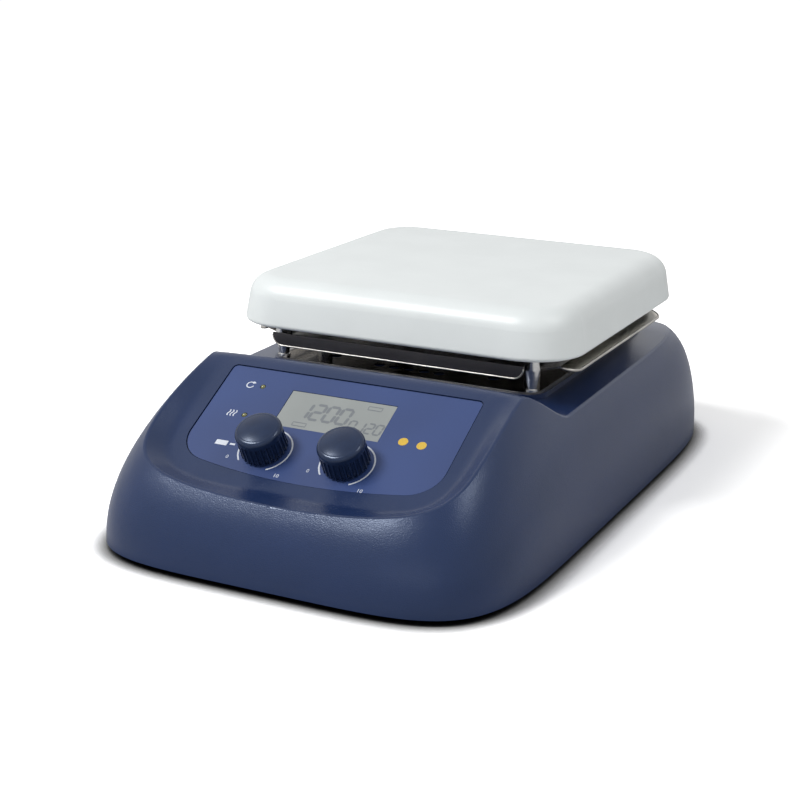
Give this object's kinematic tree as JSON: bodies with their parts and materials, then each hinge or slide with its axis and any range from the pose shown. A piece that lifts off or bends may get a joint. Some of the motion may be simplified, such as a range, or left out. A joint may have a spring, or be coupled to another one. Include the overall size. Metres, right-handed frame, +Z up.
{
  "type": "hotplate magnetic stirrer",
  "caption": "Hotplate magnetic stirrer with a raised square heated plate on posts over a sloped display panel, turning dials and a spinning magnet drive inside.",
  "frame": {"origin": "on the surface it stands on, under the middle of the object's bounding box", "axes": "+X to the right seen from the front, +Y from the front to the back, +Z up"},
  "size_m": [0.218, 0.36, 0.112],
  "materials": {
    "housing_paint": "satin, fine texture",
    "base_paint": "satin",
    "overlay_film": "semi-matte printed film",
    "display_window": "clear over a grey-green display",
    "display_tray": "matte",
    "circuit_board": "semi-gloss",
    "zinc_screws": "zinc plated",
    "lamp_lens": "clear lens",
    "white_enamel": "gloss white enamel",
    "heater_mica": "matte",
    "fibre_pad": "mineral fibre",
    "cover_sheet": "plain rolled sheet",
    "sensor_tube": "drawn tube",
    "lead_sleeve": "glass braid",
    "polished_sheet": "polished",
    "turned_steel": "turned",
    "motor_iron": "zinc plated",
    "magnet_ferrite": "sintered",
    "spacer_nylon": "matte",
    "black_plastic": "fine texture",
    "winding": "varnished",
    "can_sleeve": "shrunk sleeve",
    "contact_brass": "nickelled brass",
    "socket_shell": "plated",
    "knob_gloss": "gloss",
    "foot_rubber": "matte"
  },
  "bodies": {
    "instrument": {"upper_housing": "housing_paint", "base_plate": "base_paint", "rear_panel": "base_paint", "motor_bracket": "base_paint", "panel_overlay": "overlay_film", "display_glass": "display_window", "display_frame": "display_tray", "control_board": "circuit_board", "power_board": "circuit_board", "base_screws": "zinc_screws", "board_screws": "zinc_screws", "cover_screws": "zinc_screws", "tray_screws": "zinc_screws", "post_screws": "zinc_screws", "bracket_screws": "zinc_screws", "rear_screws": "zinc_screws", "panel_lamps": "lamp_lens", "work_plate": "white_enamel", "heating_element": "heater_mica", "insulation_pad": "fibre_pad", "element_cover": "cover_sheet", "heat_tray": "cover_sheet", "tray_spacers": "cover_sheet", "plate_sensor": "sensor_tube", "heater_leads": "lead_sleeve", "shield_sheet": "polished_sheet", "post_front_left": "turned_steel", "post_rear_left": "turned_steel", "post_front_right": "turned_steel", "post_rear_right": "turned_steel", "rod_socket": "turned_steel", "motor_bearings": "turned_steel", "motor_can": "motor_iron", "motor_cap": "motor_iron", "stator": "motor_iron", "board_standoffs": "spacer_nylon", "terminal_block": "black_plastic", "mains_inlet": "black_plastic", "switch_frame": "black_plastic", "fuse_holder": "black_plastic", "heat_control": "black_plastic", "stir_control": "black_plastic", "transformer": "winding", "capacitors": "can_sleeve", "inlet_pins": "contact_brass", "probe_socket": "contact_brass", "data_socket": "socket_shell", "foot_front_left": "foot_rubber", "foot_front_right": "foot_rubber", "foot_rear_left": "foot_rubber", "foot_rear_right": "foot_rubber"},
    "heat_dial": {"heat_knob": "knob_gloss", "heat_shaft": "turned_steel"},
    "stir_dial": {"stir_knob": "knob_gloss", "stir_shaft": "turned_steel"},
    "rotor": {"motor_shaft": "turned_steel", "rotor_core": "motor_iron", "magnet_bar": "motor_iron", "drive_magnets": "magnet_ferrite"},
    "rocker": {"power_rocker": "black_plastic"}
  },
  "joints": [
    {"name": "heat_dial_turn", "type": "hinge", "parent": "instrument", "child": "heat_dial", "pos_m": [-0.0239, -0.13328, 0.05235], "axis": [0, 0.4819, -0.8762], "range_deg": [0, 300]},
    {"name": "stir_dial_turn", "type": "hinge", "parent": "instrument", "child": "stir_dial", "pos_m": [0.0194, -0.13328, 0.05235], "axis": [0, 0.4819, -0.8762], "range_deg": [0, 300]},
    {"name": "rotor_spin", "type": "hinge", "parent": "instrument", "child": "rotor", "pos_m": [0, 0.0387, 0.06], "axis": [0, 0, 1], "continuous": true},
    {"name": "rocker_tip", "type": "hinge", "parent": "instrument", "child": "rocker", "pos_m": [-0.018, 0.1625, 0.031], "axis": [1, 0, 0], "range_deg": [0, 16]}
  ]
}
